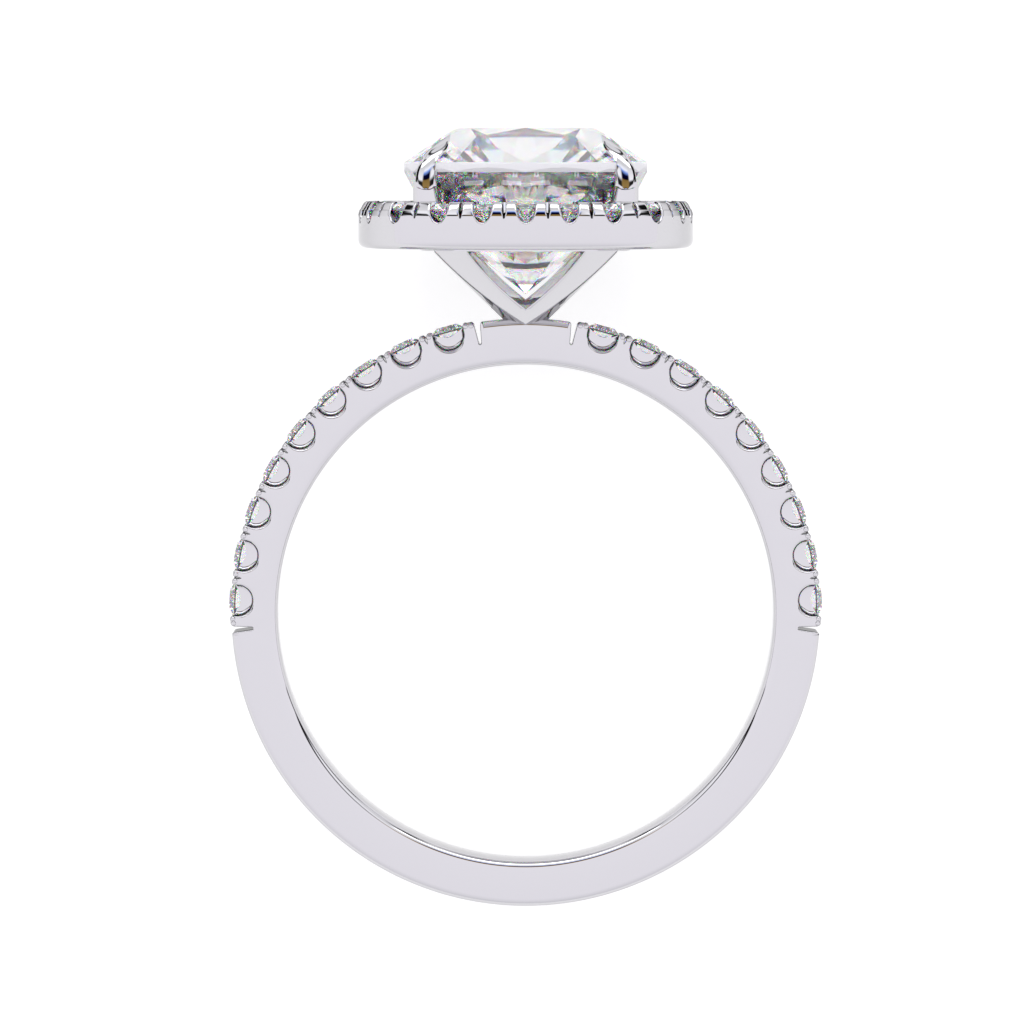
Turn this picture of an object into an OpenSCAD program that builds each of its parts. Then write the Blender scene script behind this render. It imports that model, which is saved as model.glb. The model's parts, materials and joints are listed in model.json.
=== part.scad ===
// Cushion halo ring with a stone-set band.
// Everything is modelled with the ring upright: X across the finger, Y along the finger and away
// from the front, Z up to the head, with the middle of the finger hole at zero. The last step lays
// the ring on its side, where it rests on the halo's side wall and the band's back rim.
// All sizes are in millimetres.

/* [Band] */
// Inner diameter of the band, the finger hole
hole_d = 17.0; // [16.4:0.1:17.6]
// Thickness of the band from the finger to the outside
band_t = 1.58; // [1.5:0.01:1.7]
// Width of the band along the finger
band_w = 2.0; // [1.9:0.05:2.2]
// Radius of the rounded edges on the outside of the band
band_edge = 0.27; // [0.22:0.01:0.3]
// Radius of the rounded edges against the finger
comfort_edge = 0.29; // [0.24:0.01:0.34]

/* [Band stones] */
// Stones on each side of the head
band_side_count = 9; // [5:1:9]
// Angle of the first stone from the top of the ring
band_first = 15.5; // [15.5:0.1:16]
// Angle from one stone to the next
band_step = 9.0; // [9:0.1:9.4]
// Height of the stone tables above the outside of the band
band_table_lift = 0.09; // [0.04:0.01:0.12]
// Width of the U-shaped window under each stone
band_window_w = 1.06; // [0.9:0.02:1.1]
// Depth of the window below the outside of the band
band_window_depth = 0.74; // [0.66:0.01:0.8]
// Width of the bright bevel around the window
band_bevel = 0.13; // [0.06:0.01:0.16]
// Thickness of the wall that stands under each stone between the front and the back window
web_t = 0.5; // [0.4:0.05:0.6]
// Width of the open slot at each end of the stone row
end_slot_w = 0.22; // [0.18:0.01:0.26]
// Width of the slot at its round bottom
end_slot_low_w = 0.12; // [0.1:0.01:0.16]
// Depth of the open slot
end_slot_depth = 0.74; // [0.6:0.01:0.8]
// Angle of the slot beside the head, from the top of the ring
top_slot_angle = 9.55; // [9.4:0.05:9.7]
// Angle from the last stone to the slot after it
last_slot_step = 5.7; // [5.4:0.1:5.9]

/* [Small stones] */
// Diameter of every small stone
small_d = 1.2; // [1.1:0.01:1.22]
// Table diameter as a share of the stone's diameter
small_table = 0.57; // [0.52:0.01:0.62]
// Crown height as a share of the stone's diameter
small_crown = 0.15; // [0.12:0.01:0.17]
// Girdle thickness as a share of the stone's diameter
small_girdle = 0.035; // [0.025:0.005:0.05]
// Pavilion depth as a share of the stone's diameter
small_pavilion = 0.43; // [0.4:0.01:0.45]

/* [Halo] */
// Half width of the halo over its outer wall
halo_half = 5.74; // [5.7:0.01:5.8]
// Distance from the head's axis to the halo's corner, on the diagonal
halo_diagonal = 6.265; // [6.2:0.005:6.32]
// Radius of the bowed sides of the halo
side_bow = 11.0; // [10.5:0.1:12]
// Height of the halo's underside above the middle of the finger hole
halo_low = 12.48; // [12.4:0.01:12.56]
// Height of the outer wall's upper edge
wall_top = 13.62; // [13.58:0.01:13.66]
// Height of the bead tops
bead_top = 14.03; // [14:0.01:14.08]
// Radius of the rounded lower edge of the halo's wall
halo_edge = 0.27; // [0.2:0.01:0.3]
// Distance of the halo stones' middles from the outer wall
halo_inset = 0.75; // [0.74:0.01:0.78]
// Width of the U-shaped window under each halo stone
halo_window_w = 0.72; // [0.64:0.02:0.76]
// Height of the window's lowest point
halo_window_low = 13.34; // [13.3:0.01:13.4]

/* [Centre stone] */
// Distance of the centre stone's girdle from the halo's outer wall
stone_inset = 1.58; // [1.56:0.01:1.62]
// Half width of the table
table_half = 2.37; // [2.2:0.01:2.5]
// Distance from the axis to the table's corner, on the diagonal
table_diagonal = 2.66; // [2.5:0.01:2.8]
// Height of the table
table_z = 16.58; // [16.5:0.01:16.66]
// Height of the girdle's upper edge
girdle_top = 15.41; // [15.38:0.01:15.46]
// Height of the girdle's lower edge
girdle_low = 15.08; // [15.04:0.01:15.12]
// Height where the steep upper pavilion ends
break_z = 13.6; // [13.5:0.05:13.8]
// Slope of the steep upper pavilion, from level
break_slope = 62; // [58:1:64]
// Height of the stone's lowest point
culet_z = 10.91; // [10.88:0.01:11]

/* [Claws and basket] */
// Distance of the claw stems from the head's axis, on the diagonal
claw_diagonal = 4.79; // [4.74:0.01:4.84]
// Radius of the claw stems
stem_r = 0.43; // [0.38:0.01:0.46]
// Radius of the claw at its rounded foot
claw_r = 0.38; // [0.34:0.01:0.42]
// Height of the middle of the claw's rounded foot
claw_foot_z = 14.86; // [14.8:0.01:14.95]
// Distance of the claw tips from the head's axis, on the diagonal
tip_diagonal = 3.74; // [3.6:0.01:3.8]
// Height of the middle of the claw tips
tip_z = 16.32; // [16.28:0.01:16.4]
// Radius of the claw tips
tip_r = 0.11; // [0.08:0.01:0.14]
// Angle by which the V plates lean out from the finger's axis line
lean = 41; // [38:1:43]
// Thickness of the V plates
plate_t = 0.5; // [0.45:0.05:0.6]
// Height of the V's outer point above the middle of the finger hole
v_point_z = 9.85; // [9.8:0.01:9.9]
// Width of the V's arms, measured up from point to point
v_arm = 0.72; // [0.64:0.02:0.8]
// Half width of the V at the halo, over its outer edge
v_half = 3.1; // [3:0.02:3.2]
// Half width of the V at the halo, at its inner edge
v_inner_half = 2.0; // [1.9:0.02:2.1]

/* [Fit] */
// Gap between a stone and the metal that holds it
stone_gap = 0.03; // [0.02:0.005:0.04]

/* [Hidden] */
$fn = 64;

// Band, and the size of the blocks that cut whole sides away
hole_r = hole_d / 2;
band_r = hole_r + band_t;
band_notch_depth = 0.32;
band_notch_w = 0.14;
big = 40;

// Outline of the head: four bowed sides and four rounded corners that meet without a kink. The
// corner's radius follows from the half width, the diagonal and the bow.
root2 = sqrt(2);
corner_r = (2 * side_bow * halo_half - root2 * side_bow * halo_diagonal - pow(halo_diagonal, 2)
            + root2 * halo_half * halo_diagonal - pow(halo_half, 2))
         / (2 * side_bow - root2 * side_bow + root2 * halo_half - 2 * halo_diagonal);
corner_c = (halo_diagonal - corner_r) / root2;
join_angle = atan2(corner_c, corner_c - halo_half + side_bow);
outline_steps = 18;

// Halo stones: equal steps along their middle line, one at each side's middle and each corner
halo_side_run = (side_bow - halo_inset) * join_angle * PI / 180;
halo_corner_run = (corner_r - halo_inset) * (45 - join_angle) * PI / 180;
halo_per_eighth = 3;
halo_step = (halo_side_run + halo_corner_run) / halo_per_eighth;
halo_per_side = 2 * halo_per_eighth;
halo_count = 4 * halo_per_side;
band_count = 2 * band_side_count;

// Small stones, measured from the middle of the girdle
small_r = small_d / 2;
small_table_z = small_d * (small_girdle / 2 + small_crown);
halo_stone_z = bead_top - small_table_z - 0.02;
band_stone_r = band_r + band_table_lift - small_table_z;
seat_r = small_r + stone_gap;
seat_top = small_table_z + 0.04;
// Reach of the stones' lower halves from the axis, as a share of the girdle's radius
low_reach = 0.24;

// The halo's inner wall, the shelf that carries the stems and the V plates, and the notches between
// its beads
inner_wall = 1.5;
shelf_low = halo_low - 0.08;
shelf_top = halo_low + 0.38;
shelf_outer = 2.14;
shelf_inner = 2.85;
halo_notch_depth = 0.46;
halo_notch_w = 0.16;
halo_notch_length = 1.2;
halo_notch_inset = 0.3;

// The fullest part of a claw, from the middle of its foot
claw_back = 0.28;
claw_rise = 0.9;

// Bows of the V plates' outer and inner edges, and their foot inside the band
outer_bow = 0.16;
inner_bow = 0.12;
foot_w = 0.6;
foot_depth = 0.5;
foot_rise = 0.4;

// The outer wall from the halo's underside to its bead tops: how far in, and how high
halo_levels = concat(
    [for (i = [0:4]) [halo_edge * (1 - sin(i * 22.5)), halo_low + halo_edge * (1 - cos(i * 22.5))]],
    [[0, wall_top], [0.05, wall_top + 0.18], [0.16, wall_top + 0.33], [0.32, bead_top]]);

// Side view of the resting ring: the rounded band rim and the halo's rounded edge touch the surface
rim_y = band_w / 2 - band_edge;
rim_z = band_edge - band_r;
edge_y = halo_half - halo_edge;
edge_z = halo_low + halo_edge;
rest_run = norm([edge_z - rim_z, edge_y - rim_y]);
rest_tilt = atan2(edge_y - rim_y, edge_z - rim_z) - asin((band_edge - halo_edge) / rest_run);
rest_lift = rim_y * cos(rest_tilt) - rim_z * sin(rest_tilt) + band_edge;
rest_back = rim_z * cos(rest_tilt) - rim_y * sin(rest_tilt) - band_edge;
rest_front = table_z * cos(rest_tilt) + table_half * sin(rest_tilt);
rest_middle = (rest_back + rest_front) / 2;

halo_names = [for (i = [1:halo_count]) str("halo_stone_", i < 10 ? "0" : "", i)];
band_names = [for (i = [1:band_count]) str("band_stone_", i < 10 ? "0" : "", i)];

// A point of the head's outline, moved in by inset. The angle is that of the wall's outward
// direction, from +Y towards +X, and lies between 0 and 90.
function eighth_point(angle, inset) = angle <= join_angle
    ? [(side_bow - inset) * sin(angle), halo_half - side_bow + (side_bow - inset) * cos(angle)]
    : [corner_c + (corner_r - inset) * sin(angle), corner_c + (corner_r - inset) * cos(angle)];
function swapped(p) = [p.y, p.x];
function quarter_point(angle, inset) = angle <= 45
    ? eighth_point(angle, inset)
    : swapped(eighth_point(90 - angle, inset));
function turned(p, a) = [p.x * cos(a) + p.y * sin(a), p.y * cos(a) - p.x * sin(a)];

// The wall's outward angle at a share of the way round a quarter, along the halo stones' middles
function run_angle(run) = run <= halo_side_run
    ? run / (side_bow - halo_inset) * 180 / PI
    : join_angle + (run - halo_side_run) / (corner_r - halo_inset) * 180 / PI;
function share_angle(share) = share <= 0.5
    ? run_angle(share * halo_per_side * halo_step)
    : 90 - run_angle((1 - share) * halo_per_side * halo_step);

// The whole outline as a polygon, with even steps
function outline(inset) = [
    for (side = [0:3]) for (i = [0:outline_steps - 1])
        turned(quarter_point(share_angle(i / outline_steps), inset), 90 * side)];

// Outward direction of the plane through three points of the centre stone
function outward(p, q, r) = let (n = cross(q - p, r - p), inside = [0, 0, girdle_low])
    (n * (p - inside) < 0 ? -n : n) / norm(n);
function slope_normal(azimuth, slope, side) =
    [sin(slope) * cos(azimuth), sin(slope) * sin(azimuth), side * cos(slope)];
function polar(r, azimuth, z) = [r * cos(azimuth), r * sin(azimuth), z];

// Cuts away what lies beyond a facet's plane
module beyond(p, n) {
    translate(p) rotate([0, acos(n.z), atan2(n.y, n.x)]) translate([-big / 2, -big / 2, 0]) cube(big);
}

// The centre stone: table, 8 stars, 8 mains, 16 upper halves, girdle, a steep upper pavilion,
// 16 lower halves and 8 lower mains, cut as planes from a plate of the girdle's outline. The pairs
// of values are taken on the side's middle and on the diagonal.
module cushion_brilliant() {
    table = [table_half, table_diagonal];
    girdle = [halo_half - stone_inset, halo_diagonal - stone_inset];
    mid_girdle = swapped(quarter_point(17, stone_inset));
    crown = table_z - girdle_top;
    // The stars' lower tips lie where the side main and the corner main meet
    side_fall = -crown / (girdle[0] - table[0]);
    corner_fall = -crown / (girdle[1] - table[1]);
    star_r = 0.45 * (table[0] + girdle[0]) + 0.05 * (table[1] + girdle[1]);
    even = star_r * (side_fall - corner_fall * cos(45));
    odd = -star_r * corner_fall * sin(45);
    offset_fall = table[0] * side_fall - table[1] * corner_fall;
    star_azimuth = atan2(odd, even) - acos(offset_fall / norm([even, odd]));
    star = polar(star_r, star_azimuth, table_z + (star_r * cos(star_azimuth) - table[0]) * side_fall);
    side_table = polar(table[0], 0, table_z);
    corner_table = polar(table[1], 45, table_z);
    side_girdle = polar(girdle[0], 0, girdle_top);
    corner_girdle = polar(girdle[1], 45, girdle_top);
    half_girdle = [mid_girdle.x, mid_girdle.y, girdle_top];
    side_low = polar(girdle[0], 0, girdle_low);
    corner_low = polar(girdle[1], 45, girdle_low);
    half_low = [mid_girdle.x, mid_girdle.y, girdle_low];
    // The lower mains run from the culet to the height where the steep upper pavilion ends
    in = (girdle_low - break_z) / tan(break_slope);
    side_break = polar(girdle[0] - in, 0, break_z);
    corner_break = polar(girdle[1] - in, 45, break_z);
    half_break = polar(norm(mid_girdle) - in, atan2(mid_girdle.y, mid_girdle.x), break_z);
    culet = [0, 0, culet_z];
    side_rise = (break_z - culet_z) / side_break.x;
    corner_rise = (break_z - culet_z) / norm([corner_break.x, corner_break.y]);
    tip_azimuth = atan2(side_rise / corner_rise - cos(45), sin(45));
    low_r = low_reach * girdle[0];
    low_tip = polar(low_r, tip_azimuth, culet_z + low_r * cos(tip_azimuth) * side_rise);
    hull() difference() {
        head_plate(stone_inset, culet_z, table_z);
        for (quarter = [0:3]) rotate([0, 0, 90 * quarter]) {
            beyond(side_girdle, slope_normal(0, atan(-side_fall), 1));
            beyond(corner_girdle, slope_normal(45, atan(-corner_fall), 1));
            beyond(culet, slope_normal(0, atan(side_rise), -1));
            beyond(culet, slope_normal(45, atan(corner_rise), -1));
            for (flip = [0, 1]) mirror([0, flip, 0]) {
                beyond(star, outward(star, side_table, corner_table));
                beyond(star, outward(star, side_girdle, half_girdle));
                beyond(star, outward(star, half_girdle, corner_girdle));
                beyond(low_tip, outward(low_tip, side_break, half_break));
                beyond(low_tip, outward(low_tip, half_break, corner_break));
                beyond(side_low, outward(side_low, half_low, side_break));
                beyond(corner_low, outward(corner_low, half_low, corner_break));
            }
        }
    }
}

// A ring of points about the stone's axis
function ring(count, first, r, z) = [for (i = [0:count - 1]) polar(r, first + i * 360 / count, z)];

// One small round stone, a brilliant with its girdle at zero and its table up: 8 points round the
// table, 8 star tips, 16 points on each edge of the girdle, 8 tips of the lower halves, the culet
module small_stone() {
    edge = small_girdle * small_d / 2;
    table_r = small_table * small_r;
    star_r = (table_r + small_r) / 2 / cos(22.5);
    star_z = small_table_z - (small_r - table_r) / 2 * small_crown * small_d / (small_r - table_r);
    low_r = low_reach * small_r;
    culet_depth = edge + small_pavilion * small_d;
    low_z = low_r * cos(22.5) * small_pavilion * small_d / small_r - culet_depth;
    table = 0;
    star = 8;
    girdle = 16;
    under = 32;
    low = 48;
    culet = 56;
    polyhedron(
        points = concat(
            ring(8, 0, table_r, small_table_z), ring(8, 22.5, star_r, star_z), ring(16, 0, small_r, edge),
            ring(16, 0, small_r, -edge), ring(8, 22.5, low_r, low_z), [[0, 0, -culet_depth]]),
        faces = concat(
            [[for (k = [7:-1:0]) table + k]],
            [for (k = [0:7]) let (n = (k + 1) % 8, p = (k + 7) % 8, g = girdle + 2 * k, u = under + 2 * k)
                each [
                    [table + k, table + n, star + k],
                    [table + k, star + k, g, star + p],
                    [star + k, g + 1, g],
                    [star + k, girdle + 2 * n, g + 1],
                    [g, g + 1, u + 1, u],
                    [g + 1, girdle + 2 * n, under + 2 * n, u + 1],
                    [low + k, u, u + 1],
                    [low + k, u + 1, under + 2 * n],
                    [culet, low + p, u, low + k]]]));
}

// What a small stone's seat takes from the metal: the girdle's bed, the cone below and the open top
module small_seat(top) {
    girdle_z = -small_girdle * small_d / 2 - stone_gap;
    depth = small_pavilion * small_d;
    translate([0, 0, girdle_z]) cylinder(r = seat_r, h = top - girdle_z);
    translate([0, 0, girdle_z - depth]) cylinder(r1 = 0.04, r2 = seat_r, h = depth);
}

// Places a child at one halo stone: local +Y points out through the halo's wall
module at_halo_stone(i, z) {
    side = floor(i / halo_per_side);
    angle = share_angle((i % halo_per_side) / halo_per_side);
    p = turned(quarter_point(angle, halo_inset), 90 * side);
    translate([p.x, p.y, z]) rotate([0, 0, -angle - 90 * side]) children();
}

// Places a child on the band at an angle from the top: local +Z points away from the finger
module at_band_angle(angle, r) {
    rotate([0, angle, 0]) translate([0, 0, r]) children();
}

// Angle of one band stone: the first half of them go down the right side, the rest down the left
function band_angle(i) = i < band_side_count
    ? band_first + i * band_step
    : -band_first - (i - band_side_count) * band_step;

// Profile of the band, across its width and out from the finger
module band_profile() {
    half = band_w / 2;
    translate([hole_r + comfort_edge, -half]) square([band_t - comfort_edge - band_edge, band_w]);
    translate([hole_r, -half + comfort_edge]) square([comfort_edge + 0.1, band_w - 2 * comfort_edge]);
    translate([band_r - band_edge - 0.1, -half + band_edge])
        square([band_edge + 0.1, band_w - 2 * band_edge]);
    for (y = [-1, 1]) {
        translate([hole_r + comfort_edge, y * (half - comfort_edge)]) circle(comfort_edge);
        translate([band_r - band_edge, y * (half - band_edge)]) circle(band_edge);
    }
}

// What one band stone takes from the band: its seat, a U-shaped window in each face as far as the
// wall between them, and the windows' bevels
module band_stone_cut() {
    window_r = band_window_w / 2;
    window_z = band_r - band_stone_r - band_window_depth + window_r;
    reach = band_w / 2;
    small_seat(1);
    for (turn = [0, 180]) rotate([0, 0, turn]) translate([0, 0, window_z]) {
        translate([0, -web_t / 2, 0]) rotate([90, 0, 0]) cylinder(r = window_r, h = reach);
        translate([-window_r, -web_t / 2 - reach, 0]) cube([band_window_w, reach, 2]);
        translate([0, -band_w / 2, -band_bevel / 2]) rotate([90, 0, 0])
            cylinder(r1 = window_r, r2 = window_r + band_bevel, h = 2 * band_bevel, center = true);
    }
}

// The fine notch that parts the two beads between neighbouring stones
module bead_notch(depth, w, length) {
    above = 0.3;
    rotate([90, 0, 0]) linear_extrude(length, center = true)
        polygon([[-w / 2, above], [-w / 2, 0], [0, -depth], [w / 2, 0], [w / 2, above]]);
}

// The open slot at the end of a row, narrower towards its round bottom
module end_slot() {
    low_r = end_slot_low_w / 2;
    low = -end_slot_depth + low_r;
    half = end_slot_w / 2;
    rotate([90, 0, 0]) linear_extrude(band_w + 1, center = true) {
        translate([0, low]) circle(low_r);
        polygon([[-low_r, low], [low_r, low], [half, 0], [half, 1], [-half, 1], [-half, 0]]);
    }
}

module band() {
    last = band_first + (band_side_count - 1) * band_step;
    difference() {
        rotate([90, 0, 0]) rotate_extrude($fn = 128) band_profile();
        for (i = [0:band_count - 1]) at_band_angle(band_angle(i), band_stone_r) band_stone_cut();
        for (side = [-1, 1]) {
            for (i = [1:band_side_count - 1])
                at_band_angle(side * (band_first + (i - 0.5) * band_step), band_r)
                    bead_notch(band_notch_depth, band_notch_w, band_w + 1);
            at_band_angle(side * top_slot_angle, band_r) end_slot();
            at_band_angle(side * (last + last_slot_step), band_r) end_slot();
        }
    }
}

// A flat plate of the head's outline, moved in by inset
module head_plate(inset, low, high) {
    translate([0, 0, low]) linear_extrude(high - low) polygon(outline(inset));
}

// The halo as if it were full, with its rounded outer wall: one outline at each of its levels
module halo_full() {
    count = 4 * outline_steps;
    last = len(halo_levels) - 1;
    polyhedron(
        points = [for (level = halo_levels) for (p = outline(level[0])) [p.x, p.y, level[1]]],
        faces = [
            [for (i = [count - 1:-1:0]) i],
            [for (i = [0:count - 1]) last * count + i],
            for (k = [0:last - 1]) for (i = [0:count - 1])
                let (a = k * count + i, b = k * count + (i + 1) % count) [a, b, b + count, a + count]]);
}

// The halo's ring with its inner step and the shelf below
module halo_body() {
    difference() {
        union() {
            halo_full();
            head_plate(shelf_outer, shelf_low, shelf_top);
        }
        head_plate(inner_wall, shelf_top, bead_top + 1);
        head_plate(shelf_inner, shelf_low - 1, bead_top + 1);
    }
}

// What one halo stone takes from the halo: its seat and the U-shaped window through the wall
module halo_stone_cut() {
    window_r = halo_window_w / 2;
    reach = inner_wall + 1;
    small_seat(seat_top);
    translate([0, halo_inset - inner_wall / 2, halo_window_low - halo_stone_z + window_r]) {
        rotate([90, 0, 0]) cylinder(r = window_r, h = reach, center = true);
        translate([-window_r, -reach / 2, 0]) cube([halo_window_w, reach, 0.5]);
    }
}

// The halo with the claws that stand on it
module halo() {
    difference() {
        union() {
            halo_body();
            claw_stems();
            claws();
        }
        stone_room();
        for (i = [0:halo_count - 1]) {
            at_halo_stone(i, halo_stone_z) halo_stone_cut();
            at_halo_gap(i) bead_notch(halo_notch_depth, halo_notch_w, halo_notch_length);
        }
    }
}

// Places a child in the gap after one halo stone, on the outer wall at the bead tops
module at_halo_gap(i) {
    side = floor(i / halo_per_side);
    angle = share_angle((i % halo_per_side + 0.5) / halo_per_side);
    p = turned(quarter_point(angle, halo_notch_inset), 90 * side);
    translate([p.x, p.y, bead_top]) rotate([0, 0, -angle - 90 * side]) children();
}

module at_claws() {
    for (quarter = [0:3]) rotate([0, 0, 45 + 90 * quarter]) children();
}

module claw_stems() {
    stem_low = halo_low + 0.1;
    at_claws() translate([claw_diagonal, 0, stem_low]) cylinder(r = stem_r, h = claw_foot_z - stem_low);
}

// The four claws, each a rounded foot that tapers over the stone's corner
module claws() {
    at_claws() hull() {
        translate([claw_diagonal, 0, claw_foot_z]) sphere(claw_r, $fn = 24);
        translate([claw_diagonal - claw_back, 0, claw_foot_z + claw_rise]) sphere(0.7 * claw_r, $fn = 24);
        translate([tip_diagonal, 0, tip_z]) sphere(tip_r, $fn = 24);
    }
}

// The room that the centre stone needs, with its gap
module stone_room() {
    room_inset = stone_inset - stone_gap;
    table_inset = halo_half - table_half - stone_gap;
    break_inset = room_inset + (girdle_low - break_z) / tan(break_slope);
    thin = 0.01;
    hull() {
        head_plate(table_inset, table_z + stone_gap, table_z + stone_gap + thin);
        head_plate(room_inset, girdle_low - stone_gap, girdle_top + stone_gap);
        head_plate(break_inset, break_z, break_z + thin);
        translate([0, 0, culet_z]) cylinder(r = 0.1, h = thin);
    }
}

// One arm of the V, in the plate's own plane with the V's outer point at zero
module v_arm_shape(top) {
    intersection() {
        difference() {
            bow_circle([0, 0], [v_half, top], outer_bow);
            bow_circle([0, v_arm], [v_inner_half, top], inner_bow);
        }
        square([v_half + 1, top + 0.12]);
    }
}

// The disc whose edge runs from one point to another with a given bow towards the lower right
module bow_circle(from, to, bow) {
    chord = norm(to - from);
    r = chord * chord / (8 * bow) + bow / 2;
    along = (to - from) / chord;
    middle = (from + to) / 2 + [-along.y, along.x] * (r - bow);
    translate(middle) circle(r, $fn = 128);
}

// A V-shaped plate from the band's edge out to the halo, and its foot inside the band
module v_plate() {
    top = (shelf_low - v_point_z) / cos(lean);
    translate([0, -band_w / 2, v_point_z]) rotate([90 + lean, 0, 0])
        translate([0, 0, -plate_t]) linear_extrude(plate_t) {
            v_arm_shape(top);
            mirror([1, 0]) v_arm_shape(top);
            translate([-foot_w / 2, -foot_depth]) square([foot_w, foot_depth + foot_rise]);
        }
}

module basket() {
    v_plate();
    mirror([0, 1, 0]) v_plate();
}

// Lays the upright ring on its side, with the head towards +Y and the front up
module resting() {
    translate([0, -rest_middle, rest_lift]) rotate([rest_tilt - 90, 0, 0]) children();
}

// All the metal is soldered into one piece
module band_and_setting() {
    color("gainsboro") resting() {
        band();
        basket();
        halo();
    }
}

module centre_stone() {
    color("azure") resting() cushion_brilliant();
}

module halo_stone(i) {
    color("white") resting() at_halo_stone(i, halo_stone_z) small_stone();
}

module band_stone(i) {
    color("white") resting() at_band_angle(band_angle(i), band_stone_r) small_stone();
}

band_and_setting();
centre_stone();
for (i = [0:halo_count - 1]) halo_stone(i);
for (i = [0:band_count - 1]) band_stone(i);
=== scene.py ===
import json
from math import asin, atan2, copysign, cos, degrees, floor, hypot, pi, radians, sin, sqrt, tan

import bmesh
import bpy
from mathutils import Matrix, Vector, geometry


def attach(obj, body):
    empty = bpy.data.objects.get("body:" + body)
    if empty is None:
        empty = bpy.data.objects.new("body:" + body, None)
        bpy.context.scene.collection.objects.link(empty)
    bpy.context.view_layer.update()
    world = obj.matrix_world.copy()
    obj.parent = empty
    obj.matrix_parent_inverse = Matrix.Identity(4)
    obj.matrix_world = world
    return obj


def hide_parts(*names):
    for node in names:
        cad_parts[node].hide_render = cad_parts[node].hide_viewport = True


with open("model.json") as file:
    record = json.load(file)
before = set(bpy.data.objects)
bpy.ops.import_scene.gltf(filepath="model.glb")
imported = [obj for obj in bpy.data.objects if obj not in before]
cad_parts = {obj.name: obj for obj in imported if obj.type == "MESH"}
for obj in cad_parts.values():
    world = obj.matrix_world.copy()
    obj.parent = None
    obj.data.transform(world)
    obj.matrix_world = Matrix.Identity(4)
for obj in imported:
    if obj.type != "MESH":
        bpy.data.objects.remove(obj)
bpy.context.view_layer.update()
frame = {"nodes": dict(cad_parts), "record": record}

# The ring's upright frame: millimetres, X across the finger, Y along it away from the front,
# Z up to the head, zero in the middle of the finger hole
MM = 0.001
finger_hole = frame["record"]["mounts"][0]
hole_middle = Vector(finger_hole["pos_m"])
front = Vector(finger_hole["axis"]).normalized()
across = Vector((1, 0, 0))
head_up = front.cross(across)
LAY = (Matrix.Translation(hole_middle) @ Matrix((across, -front, head_up)).transposed().to_4x4()
       @ Matrix.Scale(MM, 4))


# Camera
VIEW_PITCH = radians(2.8)
VIEW_DISTANCE = 243
FOCAL_PIXELS = 7074
FRAME_PIXELS = 1024
# Where the photo has the middle of the finger hole
HOLE_PIXEL = (525.6, 611.4)
SENSOR_WIDTH = 36
# What the camera sees begins and ends here, in metres
NEAREST, FARTHEST = 0.01, 10


def make_camera():
    data = bpy.data.cameras.new("camera")
    data.sensor_width = SENSOR_WIDTH
    data.lens = data.sensor_width * FOCAL_PIXELS / FRAME_PIXELS
    data.clip_start = NEAREST
    data.clip_end = FARTHEST
    right = Vector((1, 0, 0))
    ahead = Vector((0, cos(VIEW_PITCH), -sin(VIEW_PITCH)))
    up = Vector((0, sin(VIEW_PITCH), cos(VIEW_PITCH)))
    pixel = VIEW_DISTANCE / FOCAL_PIXELS
    aside = (HOLE_PIXEL[0] - FRAME_PIXELS / 2) * pixel
    below = (HOLE_PIXEL[1] - FRAME_PIXELS / 2) * pixel
    place = -(aside * right - below * up + VIEW_DISTANCE * ahead)
    turn = (LAY.to_3x3() @ Matrix((right, up, -ahead)).transposed()).to_quaternion()
    camera = bpy.data.objects.new("camera", data)
    camera.matrix_world = Matrix.LocRotScale(LAY @ place, turn, None)
    bpy.context.collection.objects.link(camera)
    bpy.context.scene.camera = camera


# Materials
METAL_COLOUR = (0.62, 0.614, 0.632, 1)
# The colour of the metal's reflections at a low angle: a little dimmed on its plain walls, and black on
# its small details, which paints dark shade along their edges and outlines
WALL_EDGE_TINT = (0.8, 0.8, 0.8, 1)
DETAIL_PAINTED_EDGE_SHADE = (0, 0, 0, 1)
# Index of refraction in red, green and blue light
CENTRE_IOR = (2.40, 2.42, 2.45)
SMALL_IOR = (2.41, 2.42, 2.435)
# How much of its own colour, and of each other one, a colour's glass lets through
CENTRE_SHARES = (0.65, 0.154)
SMALL_SHARES = (0.57, 0.215)
# The centre stone's girdle is frost-white; the band stones' girdles are painted near-black, as painted
# shade for the dark lines round the stones in their seats
CENTRE_GIRDLE_COLOUR = (0.82, 0.82, 0.84, 1)
BAND_GIRDLE_PAINTED_SHADE = (0.1, 0.1, 0.11, 1)
# The centre stone's girdle, as heights above the middle of the finger hole
GIRDLE = (15.08, 15.41)
# No stone of the band reaches farther out than this
BAND_REACH = 10.4
# The most that a girdle's facet leans, as a cosine
GIRDLE_LEAN = 0.15
NOISE_DETAIL = 4
# Most of the noise lies between these values
NOISE_LOW, NOISE_HIGH = 0.3, 0.7
FLOOR_COLOUR = (0.45, 0.45, 0.45, 1)
FLOOR_GLOW = 0.68
FLOOR_HALF = 1.2


def new_material(name):
    material = bpy.data.materials.new(name)
    material.use_nodes = True
    nodes = material.node_tree.nodes
    nodes.clear()
    return material, nodes, material.node_tree.links


def add_noise(nodes, links, scale, low, high):
    """A value that wanders between two ends over the surface."""
    coordinates = nodes.new("ShaderNodeTexCoord")
    noise = nodes.new("ShaderNodeTexNoise")
    noise.inputs["Scale"].default_value = scale
    noise.inputs["Detail"].default_value = NOISE_DETAIL
    spread = nodes.new("ShaderNodeMapRange")
    spread.inputs["From Min"].default_value = NOISE_LOW
    spread.inputs["From Max"].default_value = NOISE_HIGH
    spread.inputs["To Min"].default_value = low
    spread.inputs["To Max"].default_value = high
    links.new(coordinates.outputs["Object"], noise.inputs["Vector"])
    links.new(noise.outputs["Fac"], spread.inputs["Value"])
    return spread.outputs["Result"]


def add_math(nodes, links, operation, *inputs):
    node = nodes.new("ShaderNodeMath")
    node.operation = operation
    for socket, value in zip(node.inputs, inputs):
        if isinstance(value, (int, float)):
            socket.default_value = value
        else:
            links.new(value, socket)
    return node.outputs[0]


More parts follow.
